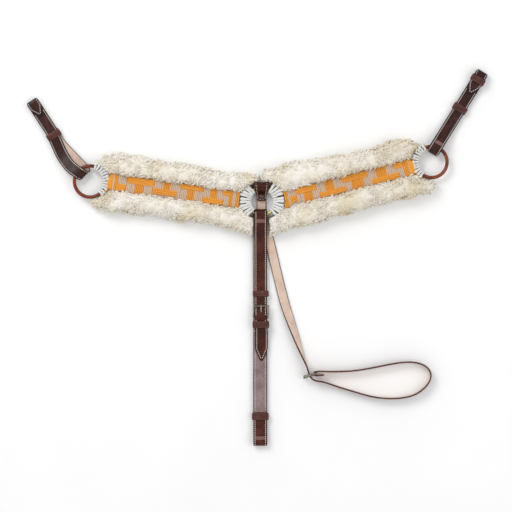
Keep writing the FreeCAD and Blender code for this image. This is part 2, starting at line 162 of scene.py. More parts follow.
GRAIN = leather("leather_grain", srgb(30, 7, 2), srgb(62, 19, 8), srgb(98, 46, 30), 0.3)
SIDE_GRAIN = leather("leather_grain_side", srgb(20, 5, 4), srgb(42, 14, 11), srgb(84, 46, 40), 0.3)
KEEPER = leather("leather_keeper", srgb(44, 20, 16), srgb(78, 40, 34), srgb(112, 70, 64), 0.36)
EDGE = leather("leather_edge", srgb(16, 5, 4), srgb(30, 12, 9), srgb(48, 24, 18), 0.45)
LONG_EDGE = leather("leather_edge_long", srgb(50, 22, 14), srgb(84, 44, 32), srgb(112, 68, 54), 0.5)
# lighter leather for the bands laid on strap bends: painted highlight
BEND_HIGHLIGHT = leather("leather_bend_painted_highlight", srgb(88, 54, 50), srgb(118, 84, 80), srgb(146, 112, 108), 0.3)
# pale grey-pink leather for the chest strap's facing: painted sheen
FACING_SHEEN = leather("leather_facing_painted_sheen", srgb(104, 82, 82), srgb(138, 116, 116), srgb(164, 144, 144), 0.42)


def flesh():
    m = Nodes("leather_flesh", 0.85)
    fibre = m.noise(420, 6, 0.7)
    tone = m.ramp(m.noise(35, 5), [(0.3, srgb(190, 160, 142)), (0.55, srgb(216, 190, 172)),
                                   (0.8, srgb(228, 206, 190))])
    m.color(m.mix(0.25, tone, m.ramp(fibre, [(0.3, srgb(178, 146, 126)), (0.7, srgb(232, 212, 198))])))
    m.bump(fibre, 0.5, 0.0006)
    m.set(Sheen_Weight=0.2, Sheen_Roughness=0.6)
    return m.mat


FLESH = flesh()


def metal(name, dark, light, rough, metallic=1.0):
    m = Nodes(name, rough)
    m.color(m.ramp(m.noise(90, 4), [(0.3, dark), (0.7, light)]))
    m.rough(m.ramp(m.noise(300, 4), [(0.3, (rough - 0.06,) * 3), (0.75, (rough + 0.12,) * 3)]))
    m.bump(m.noise(700, 3), 0.12, 0.0002)
    m.set(Metallic=metallic)
    return m.mat


SNAP = metal("snap_metal", srgb(74, 62, 54), srgb(128, 116, 106), 0.34)
NICKEL = metal("nickel", srgb(112, 108, 98), srgb(176, 172, 160), 0.22)
BRASS = metal("brass_ring", srgb(150, 138, 84), srgb(206, 196, 132), 0.3)
RUST = metal("side_ring_finish", srgb(80, 26, 0), srgb(138, 58, 4), 0.36, 0.2)
RUST.node_tree.nodes["Principled BSDF"].inputs["Coat Weight"].default_value = 0.12


def thread(name, base, shade, scale=1400):
    m = Nodes(name, 0.8)
    twist = m.noise(scale, 3, 0.6)
    m.color(m.mix(m.noise(120, 3), m.ramp(twist, [(0.3, shade), (0.62, base)]), (*base, 1)))
    m.bump(twist, 0.6, 0.0003)
    m.set(Sheen_Weight=0.25, Sheen_Roughness=0.5)
    return m.mat


STITCH = thread("stitch_thread", srgb(238, 228, 220), srgb(186, 174, 166))
KEEPER_THREAD = thread("keeper_thread", srgb(132, 98, 86), srgb(96, 66, 56))
CORD = thread("lacing_cord", srgb(232, 232, 229), srgb(188, 188, 184), 900)
# near-black for the punched holes: painted shade inside each hole
HOLE_SHADE = Nodes("punched_hole_painted_shade", 0.9, srgb(18, 12, 10))
HOLE_SHADE.bump(HOLE_SHADE.noise(800), 0.3, 0.0003)
HOLE_SHADE = HOLE_SHADE.mat


# --- mesh helpers ---
def mesh_object(name, verts, faces, mats, body, slots=None, cad=(), slot=None):
    """Makes one piece from drawn points; slots gives each face's material."""
    mesh = bpy.data.meshes.new(name)
    points = (ORIGIN + np.asarray(verts) / 1000).tolist()
    mesh.from_pydata(points, [], [tuple(int(i) for i in f) for f in faces])
    for mat in mats:
        mesh.materials.append(mat)
    if slots is not None:
        mesh.polygons.foreach_set("material_index", np.asarray(slots, np.int32))
    mesh.polygons.foreach_set("use_smooth", np.full(len(mesh.polygons), True))
    mesh.validate()
    mesh.update()
    obj = bpy.data.objects.new(name, mesh)
    bpy.context.scene.collection.objects.link(obj)
    if body:
        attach(obj, body)
    if cad:
        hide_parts(*cad)
    return obj


class Pile:
    """Gathers many small shapes into one mesh."""

    def __init__(self):
        self.verts, self.faces, self.slots, self.count = [], [], [], 0

    def add(self, verts, faces, slot=0):
        self.verts.append(np.asarray(verts, float))
        self.faces.extend([[i + self.count for i in face] for face in faces])
        self.slots.extend(slot if isinstance(slot, list) else [slot] * len(faces))
        self.count += len(verts)

    def build(self, name, mats, body, **extra):
        verts = np.concatenate(self.verts)
        return mesh_object(name, verts, self.faces, mats, body, slots=self.slots, **extra)


def grid_faces(rings, around):
    """Quads between successive closed rings of points."""
    i = np.arange(rings - 1)[:, None]
    j = np.arange(around)[None, :]
    k = (j + 1) % around
    quads = np.stack([i * around + j, i * around + k, (i + 1) * around + k, (i + 1) * around + j], -1)
    return quads.reshape(-1, 4)


def tube_faces(rings, around):
    """Quads between rings of points, and a face over each end."""
    ends = [list(range(around))[::-1], list(range((rings - 1) * around, rings * around))]
    return grid_faces(rings, around).tolist() + ends


def spline(keys, step):
    """Even points on a smooth curve through keys, each row a point or a point and more values."""
    keys = np.asarray(keys, float)
    t = np.concatenate([[0], np.cumsum(np.linalg.norm(np.diff(keys[:, :3], axis=0), axis=1))])
    n = len(keys)
    h = np.diff(t)
    a = np.zeros((n, n))
    b = np.zeros((n, keys.shape[1]))
    a[0, 0] = a[-1, -1] = 1
    for i in range(1, n - 1):
        a[i, i - 1:i + 2] = h[i - 1], 2 * (h[i - 1] + h[i]), h[i]
        b[i] = 6 * ((keys[i + 1] - keys[i]) / h[i] - (keys[i] - keys[i - 1]) / h[i - 1])
    second = np.linalg.solve(a, b)
    count = max(3, int(round((t[-1] - t[0]) / step)) + 1)
    marks = np.linspace(t[0], t[-1], count)
    k = np.clip(np.searchsorted(t, marks) - 1, 0, n - 2)
    x = ((marks - t[k]) / h[k])[:, None]
    hk = (h[k] ** 2)[:, None]
    y = 1 - x
    value = y * keys[k] + x * keys[k + 1]
    return value + hk / 6 * ((y ** 3 - y) * second[k] + (x ** 3 - x) * second[k + 1])


def strap_section(crown=0.35):
    """A strap's cross section (share of half width, inset, share of thickness) and its faces' kinds."""
    shoulder, ridge = 1 + crown * 0.15, 1 + crown * 0.2
    top = [(1, -1.3, 1), (0.6, 0, shoulder), (0, 0, ridge), (-0.6, 0, shoulder), (-1, 1.3, 1)]
    left = [(-1, 0.45, 0.86), (-1, 0.0, 0.35), (-1, 0.0, -0.35), (-1, 0.45, -0.86)]
    bottom = [(-1, 1.3, -1), (-0.5, 0, -1), (0, 0, -1), (0.5, 0, -1), (1, -1.3, -1)]
    right = [(1, -0.45, -0.86), (1, 0.0, -0.35), (1, 0.0, 0.35), (1, -0.45, 0.86)]
    return np.array(top + left + bottom + right), [0] * 4 + [2] * 5 + [1] * 4 + [2] * 5


class Strap:
    """A strap along a smooth path: rows of keys are x, y, z, width, and side vector."""

    def __init__(self, keys, thick=3.0, step=1.2, wander=0.25):
        data = spline(keys, step)
        self.points = data[:, :3]
        self.width = data[:, 3]
        self.thick = thick
        tangent = unit(np.gradient(self.points, axis=0))
        side = data[:, 4:7]
        side = unit(side - tangent * np.sum(side * tangent, axis=1, keepdims=True))
        self.tangent, self.side = tangent, side
        self.normal = np.cross(tangent, side)
        self.run = np.concatenate([[0], np.cumsum(np.linalg.norm(np.diff(self.points, axis=0), axis=1))])
        drift = np.array([noise.noise(Vector((s * 0.02, wander * 9, 1.7))) for s in self.run])
        self.points = self.points + self.side * (drift * wander)[:, None]

    def at(self, s, across=0.0, lift=0.0):
        """Point on the strap: run s, offset across, and height over the middle of the thickness."""
        point, side, normal = (np.stack([np.interp(s, self.run, v[:, k]) for k in range(3)], -1)
                               for v in (self.points, self.side, self.normal))
        return point + side * np.asarray(across)[..., None] + normal * np.asarray(lift)[..., None]

    def frame(self, s):
        k = min(int(np.searchsorted(self.run, s)), len(self.run) - 1)
        return self.tangent[k], self.side[k], self.normal[k]

    def taper(self, length, blunt=1.5, end=False, power=0.7):
        """Bring one end to a point."""
        run = self.run[-1] - self.run if end else self.run
        share = np.clip(run / length, 0, 1)
        self.width = np.minimum(self.width, 2 * (blunt + (self.width / 2 - blunt) * share ** power))
        return self

    def mesh(self, name, mats, body, cad=(), slot="leather", grain_up=True):
        section, kinds = strap_section()
        half = self.width[:, None] / 2
        u = section[None, :, 0] * half + section[None, :, 1]
        inner = np.abs(section[None, :, 0]) < 0.99
        u = np.where(inner, section[None, :, 0] * half, u)
        v = section[None, :, 2] * self.thick / 2 * np.ones_like(half)
        verts = self.points[:, None] + self.side[:, None] * u[..., None] + self.normal[:, None] * v[..., None]
        around = section.shape[0]
        rings = len(self.points)
        slots = list(kinds) * (rings - 1) + [2, 2]
        if not grain_up:
            mats = [mats[1], mats[0], mats[2]]
        flat, faces = verts.reshape(-1, 3), tube_faces(rings, around)
        return mesh_object(name, flat, faces, mats, body, slots=slots, cad=cad, slot=slot)


def stitch_verts(centre, along, up, length, radius):
    """One thread stitch: a short pill whose ends dive into the leather."""
    side = np.cross(up, along)
    verts = []
    # share of the length, share of the radius, height in radii
    stations = ((-0.5, 0.35, -0.5), (-0.36, 0.9, 0.1), (0, 1.0, 0.42), (0.36, 0.9, 0.1), (0.5, 0.35, -0.5))
    for x, r, z in stations:
        for k in range(6):
            a = k * math.pi / 3
            verts.append(centre + along * x * length + side * math.cos(a) * r * radius
                         + up * (z * radius + math.sin(a) * r * radius))
    return verts


STITCH_FACES = grid_faces(5, 6).tolist()


def stitches(strap, lines, name, body, pitch=4.6, length=3.5, radius=0.42, up=1):
    """Rows of stitches: lines holds (start run, end run, offset at start, offset at end)."""
    pile = Pile()
    for s0, s1, a0, a1 in lines:
        count = max(2, int(abs(s1 - s0) / pitch))
        for k in range(count):
            f = (k + 0.5) / count
            s = s0 + (s1 - s0) * f
            across = a0 + (a1 - a0) * f
            t, side, normal = strap.frame(s)
            span = math.hypot(s1 - s0, a1 - a0)
            along = unit(t * (s1 - s0) / span + side * (a1 - a0) / span)
            centre = strap.at(s, across, up * (strap.thick / 2 + 0.12))
            along = unit(along + side * RNG.normal(0, 0.04))
            pile.add(stitch_verts(centre, along, normal * up, length, radius), STITCH_FACES)
    return pile.build(name, [STITCH], body, slot="leather")


def top_point(strap, spot):
    """Index of the strap's highest point near (x, y)."""
    gap = np.linalg.norm(strap.points[:, :2] - spot, axis=1)
    near = np.flatnonzero(gap < gap.min() + 2.5)
    return near[np.argmax(strap.points[near, 2])]


def bend_highlight(strap, spot, name, body, length=7.0):
    """Slightly raised band across a strap where the leather bends; its lighter colour is a painted highlight.
    """
    k = top_point(strap, spot)
    up = np.sign(strap.normal[k][2])
    half = strap.width[k] / 2 - 4.0
    rings, across = 9, 9
    verts = []
    for x in np.linspace(-length / 2, length / 2, rings):
        rise = 0.03 + 0.22 * math.cos(math.pi * x / length)
        section = [(half * f, rise * (1 - f ** 4)) for f in np.linspace(-1, 1, across)]
        section += [(half * f, -0.4) for f in np.linspace(1, -1, across)]
        verts += [strap.at(strap.run[k] + x, u, up * (strap.thick / 2 + v)) for u, v in section]
    mesh_object(name, verts, tube_faces(rings, 2 * across), [BEND_HIGHLIGHT], body, slot="leather")


def holes(strap, spots, name, body, radius=1.7):
    """Punched holes, not cut through: dark dished discs of painted shade with a pressed rim, at the strap's
    top point nearest each (x, y).
    """
    pile = Pile()
    for spot in spots:
        k = top_point(strap, spot)
        t, side, normal = strap.tangent[k], strap.side[k], strap.normal[k]
        normal = normal * np.sign(normal[2])
        centre = strap.points[k] + normal * strap.thick / 2
        rim = [(radius * 1.35, -0.05), (radius * 1.15, 0.14), (radius, 0.08)]
        verts = []
        for r, z in rim + [(radius * 0.7, 0.05), (0.1, 0.04)]:
            for j in range(16):
                a = j * math.pi / 8
                verts.append(centre + (t * math.cos(a) + side * math.sin(a)) * r + normal * z)
        pile.add(verts, grid_faces(5, 16))
    return pile.build(name, [HOLE_SHADE], body, slot="leather")


BEND_AT, BEND_HALF = 76, 10  # where a side strap's one bend in plan is, and half its length
COURSE = 600  # steps of 1 mm


def side_profile(origin, heading, profile, width, bend=0.0):
    """Keys of a strap drawn from its side, along a heading that may bend once by bend degrees.

    Each entry of profile is distance, height and, where they differ, width and shift to the side.
    """
    rows = []
    path = [np.array([origin[0], origin[1], 0.0])]
    steps = []
    for k in range(COURSE):
        turn = min(max((k - BEND_AT + BEND_HALF) / (2 * BEND_HALF), 0), 1) * bend
        a = math.radians(heading + turn)
        steps.append(np.array([math.cos(a), math.sin(a), 0.0]))
        path.append(path[-1] + steps[-1])
    for entry in profile:
        s, z = entry[0], entry[1]
        k = min(max(int(math.floor(s)), 0), COURSE - 2)
        p = path[k] + steps[k] * (s - k)
        side = np.cross(UP, steps[k])
        wide = entry[2] if len(entry) > 2 else width
        shift = entry[3] if len(entry) > 3 else 0.0
        rows.append([*(p + side * shift + UP * z), wide, *side])
    return rows


def arc(s0, z0, radius, start, stop, steps):
    """Points of an arc about (s0, z0), with the angles in degrees."""
    angles = [math.radians(start + (stop - start) * k / steps) for k in range(steps + 1)]
    return [(s0 + radius * math.cos(a), z0 + radius * math.sin(a)) for a in angles]


# --- side straps ---
LEATHER_T, SIDE_W = 3.0, 25.0
BACK_Z, INNER_Z, OUTER_Z = 4.2, 7.7, 11.2
FOLD_S, FOLD_R = 8.4, 8.1
END_R = 4.5
SIDE_EDGE = SIDE_W / 2 - 2.9
# each side strap's start, heading and bend
LEFT_LAY = ((-349.7, 55.8), 134.1, -11.1)
RIGHT_LAY = ((340.3, 95.3), 58.1, 0.0)


def side_strap(name, body, lay, tip, end, swell):
    """Inner end, round the ring, along the back, round the end loop to a tip; swell bows the front layer."""
    w = SIDE_W
    origin, heading, bend = lay
    centre = end - END_R - LEATHER_T / 2
    inner = centre - 14
    front = [(inner - (inner - 100) * k / 6, INNER_Z, w, 0.1 * swell * (k == 6)) for k in range(7)]
    for s, z, bow in ((80, INNER_Z, 0.36), (60, INNER_Z + 1.0, 0.78), (44, 12.4, 0.97), (28, 19.0, 1),
                      (16, 21.8, 0.85)):
        front.append((s, z, w, bow * swell))
    fold = []
    for k, (s, z) in enumerate(arc(FOLD_S, RING_Z, FOLD_R, 90, 270, 8)):
        fold.append((s, z, w - 2.4 * ((s - FOLD_S) / FOLD_R) ** 2, (0.75 - 0.65 * k / 8) * swell))
    back = [(18, 5.7), (30, 5.1), (42, 4.4)] + [(s, BACK_Z) for s in range(56, 165, 12)]
    back += [(centre - 8, BACK_Z), (centre - 3, BACK_Z)]
    for s, z in arc(centre, BACK_Z + END_R, END_R, -90, 90, 6):
        back.append((s, z, w - 3.4 * ((s - centre) / END_R) ** 2))
    back += [(centre - 6, OUTER_Z + 1.6), (centre - 12, OUTER_Z + 0.4)]
    back += [(centre - 17 - (centre - 17 - tip) * k / 3, OUTER_Z) for k in range(4)]
    keys = side_profile(origin, heading, front + fold + back, w, bend)
    strap = Strap(keys, LEATHER_T, 1.3).taper(22, 1.2, True)
    strap.mesh(name, [SIDE_GRAIN, FLESH, EDGE], body, cad=(name,), grain_up=False)
    total = strap.run[-1]
    under = inner - tip - 8
    over = total - (centre - tip) - 3
    lines = []
    for start, stop, last in ((under, inner + 12, SIDE_EDGE), (over, total - 20, SIDE_EDGE),
                              (total - 20, total - 4.2, 0.9)):
        lines += [(start, stop, -SIDE_EDGE, -last), (start, stop, SIDE_EDGE, last)]
    stitches(strap, lines, name + "_stitching", body, pitch=3.9, length=3.1, radius=0.6, up=-1)
    return strap


side_strap("left_side_strap", "left_strap", LEFT_LAY, tip=148, end=184.5, swell=14.5)
RIGHT = side_strap("right_side_strap", "right_strap", RIGHT_LAY, tip=140, end=193, swell=0.0)
# lighter band at the strap's bend: painted highlight
bend_highlight(RIGHT, (352.4, 121), "right_strap_bend_highlight", "right_strap")


# --- chest strap ---
CHEST_X, CHEST_W, FRONT_Z, CHEST_BACK_Z = -2.0, 25.4, 8.8, 5.3
CHEST_WIDE, CHEST_EDGE = CHEST_W + 2.2, CHEST_W / 2 - 3.2


def chest_profile():
    """Tip, over the keepers and the buckle to the ring fold, back down, and round the bottom loop."""
    w, f, b, wide = CHEST_W, FRONT_Z, CHEST_BACK_Z, CHEST_WIDE
    rows = [(320, f), (300, f), (279, f), (270, 9.6), (262, 12.2), (254, 12.6), (246, 13.1), (239, 15.1)]
    rows += [(233, 16.7), (227, 16.0), (220, 12.8), (213, 9.4), (205, f), (190, f), (150, f + 0.3), (110, f)]
    rows += [(85, f + 0.3), (66, 12.6), (48, 19.5), (36, 22.3)]
    rows = [(s, z, w, float(np.interp(s, (205, 239, 262), (-0.6, -0.2, 1.0)))) for s, z in rows]
    rows += [(s, z, w, -0.6 - 0.3 * k) for k, (s, z) in enumerate(arc(26.2, RING_Z, 8.7, 90, 270, 8))]
    rows += [(40, b, w, -3.2), (80, b, w, -3.4), (160, b, w, -3.3), (215, b, w, -3.0)]
    rows += [(s, b, wide, -1.6) for s in (256, 320, 400, 440)]
    rows += [(458, 4.6, wide, -1.6), (472, 3.3, wide, -1.4)]
    rows += [(s, z, wide, -1.4) for s, z in arc(483, 8.8, 5.5, -90, 90, 6)]
    return rows + [(s, z, wide, -1.4) for s, z in ((474, 13.2), (460, 10.0), (446, f), (423, f))]


def pairs(*rows):
    """Stitch lines mirrored about the strap's middle: start, stop, offset at start, offset at stop."""
    return [(start, stop, side * a, side * b) for start, stop, a, b in rows for side in (1, -1)]


CHEST = Strap(side_profile((CHEST_X, 0), -90, chest_profile(), CHEST_W), LEATHER_T, 1.3).taper(25, 1.2)
CHEST.mesh("chest_strap", [GRAIN, FLESH, EDGE], "chest", cad=("chest_strap",), grain_up=False)
_end = CHEST.run[-1]
CHEST_LINES = pairs((4.5, 24, 0.9, CHEST_EDGE), (24, 84, CHEST_EDGE, CHEST_EDGE),
                    (92, 304, CHEST_EDGE, CHEST_EDGE), (_end - 66, _end - 3, CHEST_EDGE + 1, CHEST_EDGE + 1))
stitches(CHEST, CHEST_LINES, "chest_strap_stitching", "chest", pitch=3.9, length=2.9, radius=0.64, up=-1)
holes(CHEST, [(CHEST_X, -y) for y in (176.5, 198.5, 263)], "chest_strap_holes", "chest")
# lighter bands at the fold and the bottom loop: painted highlights
bend_highlight(CHEST, (CHEST_X, -43), "chest_fold_bend_highlight", "chest")
bend_highlight(CHEST, (CHEST_X, -471), "chest_loop_bend_highlight", "chest")
# the back layer's upper face is flesh, so its open lower run has a grain facing sewn on
_rows = [(262, 8.0, CHEST_WIDE, -1.5)]
_rows += [(s, z, CHEST_WIDE, -1.6) for s, z in ((300, 7.4), (340, 7.3), (427, 7.3))]
FACING = Strap(side_profile((CHEST_X, 0), -90, _rows, CHEST_W), 1.2, 1.3)
# the facing's pale colour is painted sheen
FACING.mesh("chest_strap_facing", [FACING_SHEEN, FLESH, EDGE], "chest")
_wide = CHEST_EDGE + 0.8
stitches(FACING, pairs((40, FACING.run[-1] - 8, _wide, _wide)), "chest_facing_stitching", "chest",
         pitch=3.9, length=2.7, radius=0.58)


# --- long strap ---
def long_keys():
    """Snap tab, round the centre ring, down flat, rolled on edge, round the loop and the buckle's fold."""
    rows = []

    def put(x, y, z, roll, width, flat=None):
        rows.append([x, y, z, width, roll, flat])

    for y, z, width in ((0, 8.8, 15), (8, 8.8, 19), (13, 8.9, 22), (17.4, 13.2, 25), (22.4, 20.8, 28)):
        put(-1, y, z, 0, width, (1, 0, 0))
    for k in range(9):
        a = math.radians(90 - 180 * k / 8)
        put(-1, 28 + 8.7 * math.cos(a), RING_Z + 8.7 * math.sin(a), 0, 30 - 11 * max(k - 2, 0) / 6, (1, 0, 0))
    for y, z in ((12, 5.2), (2, 4.4), (-8, 2.5)):
        put(-1, y, z, 0, 19, (1, 0, 0))
    z = 1.8
    for x, y in ((-1, -17), (1.0, -32), (5.5, -48), (11.7, -68), (24.5, -120), (38.5, -178)):
        put(x, y, z, 0, 19)
    for x, y, z, roll in ((45, -203, 3.2, 8), (58, -243, 6.5, 30), (71, -280, 9.3, 54), (83, -313, 11.6, 76)):
        put(x, y, z, roll, 19)
    for x, y, z in (
        (91, -336, 13.6), (96, -350, 13.6), (103, -357.5, 13.6), (117, -361, 12.6), (147, -370, 10),
        (183, -381, 10), (219, -391, 10), (254, -395, 10), (290, -392, 10), (308, -386, 10),
        (324, -374.5, 10), (334, -362, 10), (337.6, -350, 10), (335, -339, 10), (327, -330.5, 10),
        (313.6, -324.6, 10), (290, -322.4, 10), (254.6, -327, 10), (219, -334, 10), (183, -339.6, 10),
        (147, -341.2, 10), (128, -341.0, 12.8), (117, -340.6, 13.6)):
        put(x, y, z, 90, 19)
    for k in range(7):
        a = math.radians(90 + 180 * k / 6)
        put(108 + 3.7 * math.cos(a), -345 + 3.7 * math.sin(a), 13.6, 90, 19)
    put(116, -348.6, 13.6, 90, 19)
    put(124, -347.6, 13.6, 90, 19)
    out = []
    for k, (x, y, z, width, roll, flat) in enumerate(rows):
        if flat is None:
            a, b = rows[max(k - 1, 0)], rows[min(k + 1, len(rows) - 1)]
            heading = unit([b[0] - a[0], b[1] - a[1], 0])
            flat = np.cross(UP, heading)
        roll = math.radians(roll)
        side = np.array(flat) * math.cos(roll) - UP * math.sin(roll)
        out.append([x, y, z, width, *side])
    return out


LONG = Strap(long_keys(), LEATHER_T, 1.2, wander=0.0)
LONG.mesh("long_strap", [FLESH, GRAIN, LONG_EDGE], "long", cad=("long_strap",))
_tab = [(4, 44, -7.2, -11.2), (4, 44, 7.2, 11.2), (3.0, 3.8, -5.5, 5.5)]
stitches(LONG, _tab, "long_tab_stitching", "long", up=-1)
_inset = 19 / 2 - 2.6
stitches(LONG, pairs((440, LONG.run[-1] - 26, _inset, _inset)), "long_loop_stitching", "long", up=-1)
holes(LONG, [(58, -243)], "long_strap_hole", "long", radius=1.6)


# --- keepers ---
def keeper(name, body, centre, heading, length, half, low, high, thick=1.8, gap=0.35):
    """Leather band round a stack: outer face domed, corners round, with a stitch line near each edge."""
    along = np.array([math.cos(heading), math.sin(heading), 0.0])
    side = np.cross(UP, along)
    inner_u, low_in, high_in = half + gap, low - gap, high + gap
    corners = [(inner_u, low_in, -90), (inner_u, high_in, 0), (-inner_u, high_in, 90),
               (-inner_u, low_in, 180)]
    outline = []
    r = 1.2
    for cu, cz, start in corners:
        du = -r if cu > 0 else r
        dz = r if cz < (low_in + high_in) / 2 else -r
        for k in range(5):
            a = math.radians(start + 90 * k / 4)
            outline.append((cu + du, cz + dz, math.cos(a), math.sin(a)))
    verts = []
    across = np.linspace(-0.5, 0.5, 9)
    rows = []
    for f in across:
        dome = 0.55 * (1 - (2 * f) ** 2)
        rows.append((f * length, r + thick * (0.86 if abs(f) > 0.49 else 1.0) + dome))
    rows += [(f * length, r) for f in across[::-1]]
    foot = np.array([*centre, 0])
    for x, reach in rows:
        for cu, cz, nu, nz in outline:
            verts.append(foot + along * x + side * (cu + nu * reach) + UP * (cz + nz * reach))
    around = len(outline)
    faces = grid_faces(len(rows), around).tolist()
    final = (len(rows) - 1) * around
    faces += [[final + j, final + (j + 1) % around, (j + 1) % around, j] for j in range(around)]
    outside = (len(across) - 1) * around
    kinds = [0] * outside + [1] * (len(faces) - outside)
    mesh_object(name, verts, faces, [KEEPER, EDGE], body, slots=kinds, cad=(name,), slot="leather")
    pile = Pile()
    top = high_in + thick + 0.32
    for edge in (-length / 2 + 1.8, length / 2 - 1.8):
        for k in range(int(2 * half / 4.4)):
            u = -half + 2.2 + k * 4.4
            spot = foot + along * edge + side * u + UP * top
            pile.add(stitch_verts(spot, side, UP, 2.9, 0.3), STITCH_FACES)
    pile.build(name + "_stitching", [KEEPER_THREAD], body, slot="leather")


def side_keeper(name, body, lay, s, length, high):
    """Keeper on a side strap, at distance s from where the strap starts."""
    origin, heading, bend = lay
    spot = side_profile(origin, heading, [(s, 0)], SIDE_W, bend)[0][:2]
    turn = bend if s > BEND_AT + BEND_HALF else 0
    keeper(name, body, spot, math.radians(heading + turn), length, SIDE_W / 2, BACK_Z - LEATHER_T / 2, high)


def chest_keeper(name, body, spot, length, spare, high):
    """Keeper on the chest strap, wider than the strap by spare on each side."""
    centre = (CHEST_X + spot[0], spot[1])
    keeper(name, body, centre, math.radians(-90), length, CHEST_W / 2 + spare, 3.8, high)


side_keeper("left_strap_keeper", "left_keeper", LEFT_LAY, 102, 14, INNER_Z + LEATHER_T / 2)
side_keeper("right_keeper_lower", "lower_right_keeper", RIGHT_LAY, 106, 14, INNER_Z + LEATHER_T / 2)
side_keeper("right_keeper_upper", "upper_right_keeper", RIGHT_LAY, 173.5, 13, OUTER_Z + 3.5)
chest_keeper("chest_keeper_sliding", "chest_slider", (-0.5, -185.5), 12, 0.8, FRONT_Z + LEATHER_T / 2)
chest_keeper("chest_keeper_sewn", "chest", (-0.3, -247), 14, 1.3, 16.8)
chest_keeper("chest_keeper_bottom", "chest_bottom_slider", (-1.4, -431), 14, 1.6, FRONT_Z + LEATHER_T / 2)


# --- fleece ---
def wool(name):
    m = Nodes(name, 0.92)
    blotch = m.ramp(m.noise(16, 4, 0.55), [(0.32, srgb(226, 214, 188)), (0.5, srgb(240, 234, 222)),
                                           (0.7, srgb(248, 245, 240))])
    curls = m.cells(210)
    shade = m.ramp(curls, [(0.1, srgb(255, 254, 250)), (0.8, srgb(206, 194, 168))])
    m.color(m.mix(0.22, blotch, shade, "MULTIPLY"))
    m.bump(m.noise(480, 5, 0.65, 0.6), 0.7, 0.0009)
    m.bump(curls, 0.35, 0.0012)
    m.set(Sheen_Weight=0.45, Sheen_Roughness=0.45, Sheen_Tint=(1, 0.97, 0.9, 1))
    return m.mat


WOOL = wool("fleece_wool")
WOOL_TIP = wool("fleece_tips")
BAND_HALF, RIM_Z = 16.5, 17.5
HUB_CLEAR, RING_CLEAR = 42.0, 38.0
HUG_Y, HUG_CLEAR = -32, 33  # below HUG_Y the wool may come this close to the centre ring's middle
CHEST_CLEAR, WOOL_TOP = 15.4, 37.5
LEFT_RING, RIGHT_RING = (-344, 39), (339, 78)


class Tug:
    """One side's fleece and band: s runs out from the centre ring, u across, z up."""

    def __init__(self, name, along, drop, pads, ring):
        self.name = name
        self.along = unit([*along, 0])
        self.side = np.cross(UP, self.along)
        self.shift = self.side * drop
        self.ring = np.array([*ring, 0.0])
        rows = np.array(pads, float)
        self.sa, self.a, self.sb, self.b, self.top = rows.T

    def place(self, s, u, z):
        s, u, z = (np.asarray(v, float)[..., None] for v in (s, u, z))
        return self.shift + self.along * s + self.side * u + UP * z

    def across(self, point):
        local = np.asarray(point, float) - self.shift
        return float(local @ self.along), float(local @ self.side)

    def ends(self, u):
        """First and last s of the pad at offset u, clear of both rings."""
        f = (u - self.b[0]) / (self.a[0] - self.b[0])
        low = self.sb[0] + (self.sa[0] - self.sb[0]) * f
        f = (u - self.b[-1]) / (self.a[-1] - self.b[-1])
        high = self.sb[-1] + (self.sa[-1] - self.sb[-1]) * np.clip(f, -0.4, 1.4)
        s0, u0 = self.across((0, 0, 0))
        s1, u1 = self.across(self.ring)
        down = -np.sign(self.side[1]) * (u - u0)
        clear = HUB_CLEAR - 8 * np.clip((down - 34) / 4, 0, 1)
        reach = np.sqrt(np.maximum(clear ** 2 - (u - u0) ** 2, 0))
        low = np.maximum(low, s0 + reach - np.where(reach > 0, 0, 60))
        reach = np.sqrt(np.maximum(RING_CLEAR ** 2 - (u - u1) ** 2, 0))
        high = np.where(reach > 0, np.minimum(high, s1 - reach), high)
        return low, high


LEFT_TUG = Tug("left", (-258, 36), 4, [
    (9, 60, 15, -48, 30), (50, 58, 50, -48, 34), (100, 52, 100, -48, 35), (140, 55, 140, -52, 34),
    (200, 52, 200, -50, 35), (250, 53, 250, -55, 34), (300, 53, 300, -55, 34),
    (326, 50, 324, -46, 28), (341, 40, 336, -30, 20)], LEFT_RING)
RIGHT_TUG = Tug("right", (262, 68), -9, [
    (16, 63, 0, -57, 30), (50, 64, 40, -54, 34), (100, 63, 90, -58, 35), (140, 57, 140, -54, 34),
    (200, 54, 200, -54, 35), (250, 52, 250, -55, 34), (297, 54, 300, -55, 34),
    (318, 52, 328, -57, 28), (329, 36, 346, -46, 20)], RIGHT_RING)


def pad_section(a, b, top):
    """Closed outline of the pad at one station, from one lower corner over both rolls and back under."""
    g, rim = 17.3, RIM_Z
    keys = [(a - 7, 0.4), (a - 1, 3.2), (a, 9), (a + 0.2, top * 0.55), (a - 5, top * 0.88),
            ((a + g) / 2 + 1, top), (g + 4, top * 0.88), (g + 0.8, rim + 4), (g + 0.1, rim + 0.6)]
    keys += [(g * f, rim - 0.2) for f in (0.9, 0.6, 0.2, -0.2, -0.6, -0.9)]
    keys += [(-g - 0.1, rim + 0.6), (-g - 0.8, rim + 4), (-g - 4, top * 0.88), ((b - g) / 2 - 1, top),
             (b + 5, top * 0.88), (b - 0.2, top * 0.55), (b, 9), (b + 1, 3.2), (b + 7, 0.4)]
    return np.array(keys, float)


def lumps(p):
    """Height of the wool over the plain pad at one point."""
    v = Vector(p)
    wide = noise.voronoi(v / 19.0)[0]
    tight = noise.voronoi(v / 8.0 + Vector((7, 3, 1)))[0]
    lift = 5.2 * (0.55 - wide[0]) + 2.2 * (0.5 - tight[0])
    return lift + 0.8 * noise.noise(v / 3.4) + 4.0 * noise.noise(v / 34.0)


PAD_AROUND = 150
PAD_STEP = 2.1


